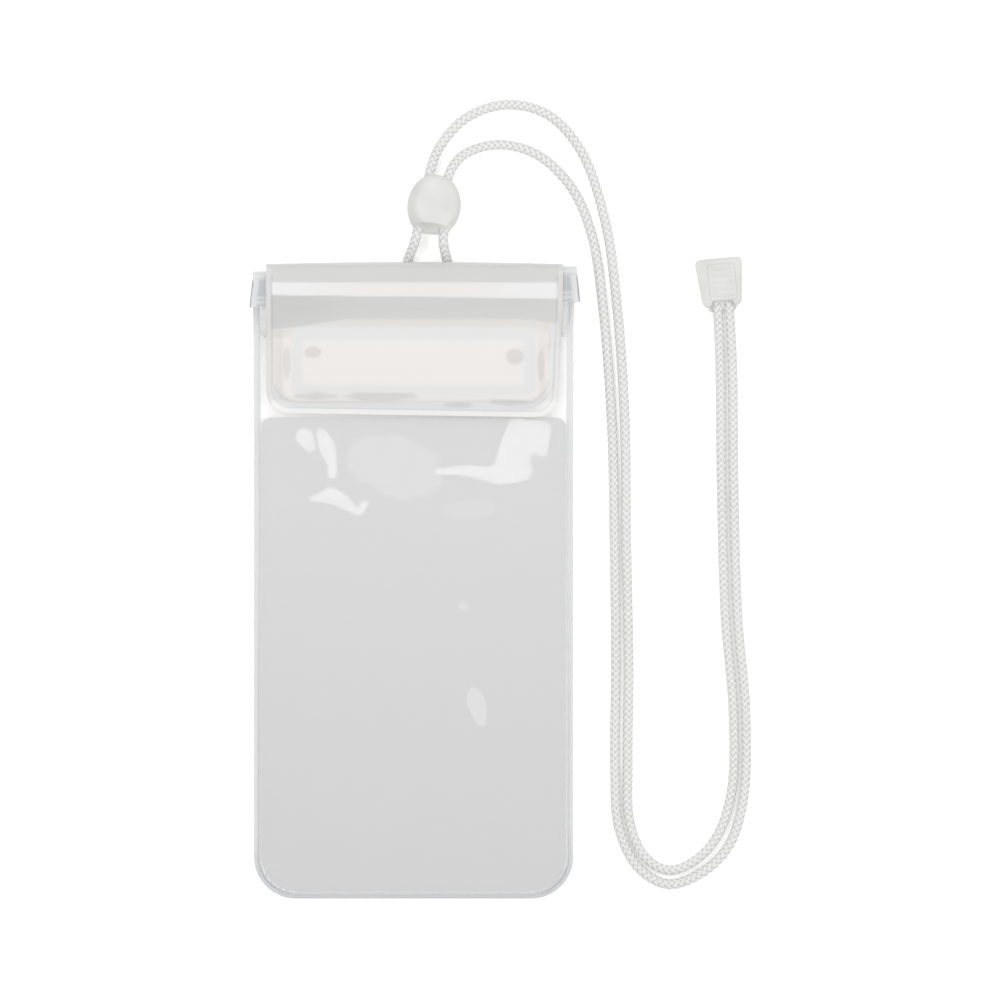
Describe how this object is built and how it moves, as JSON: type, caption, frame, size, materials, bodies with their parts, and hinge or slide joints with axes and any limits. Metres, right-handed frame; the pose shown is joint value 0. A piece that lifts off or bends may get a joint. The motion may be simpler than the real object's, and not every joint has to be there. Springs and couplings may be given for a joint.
{
  "type": "waterproof phone pouch",
  "caption": "Clear film pouch for a phone, with a press-to-close mouth folded under a hook-and-loop flap, and a looped neck cord with a sliding bead and an end clip.",
  "frame": {"origin": "on the surface that the pouch lies on, under the middle of the pouch's footprint, cord left out", "axes": "+X across the pouch, +Y up its length towards the mouth, +Z out of its front"},
  "size_m": [0.1725, 0.2751, 0.0183],
  "materials": {
    "clear_film": "clear, smooth, flexible film",
    "frosted_film": "lightly frosted flexible film",
    "grey_sheet": "pale grey, smooth, matte",
    "closure_strip": "clear extruded strip with a faint blue cast",
    "pile_tape": "off-white hook and loop pile",
    "braided_cord": "white herringbone braid",
    "white_plastic": "off-white moulded plastic, satin"
  },
  "bodies": {
    "root": {"back_film": "clear_film", "front_film": "clear_film", "window_sheet": "grey_sheet", "strip_with_ribs": "closure_strip", "strip_with_grooves": "closure_strip", "flap_outer_film": "frosted_film", "flap_lining_film": "clear_film", "hook_tape": "pile_tape", "loop_tape": "pile_tape", "cord_tab": "frosted_film", "neck_cord": "braided_cord", "slider_bead": "white_plastic", "clip_back": "white_plastic", "clip_front": "white_plastic"}
  },
  "joints": []
}
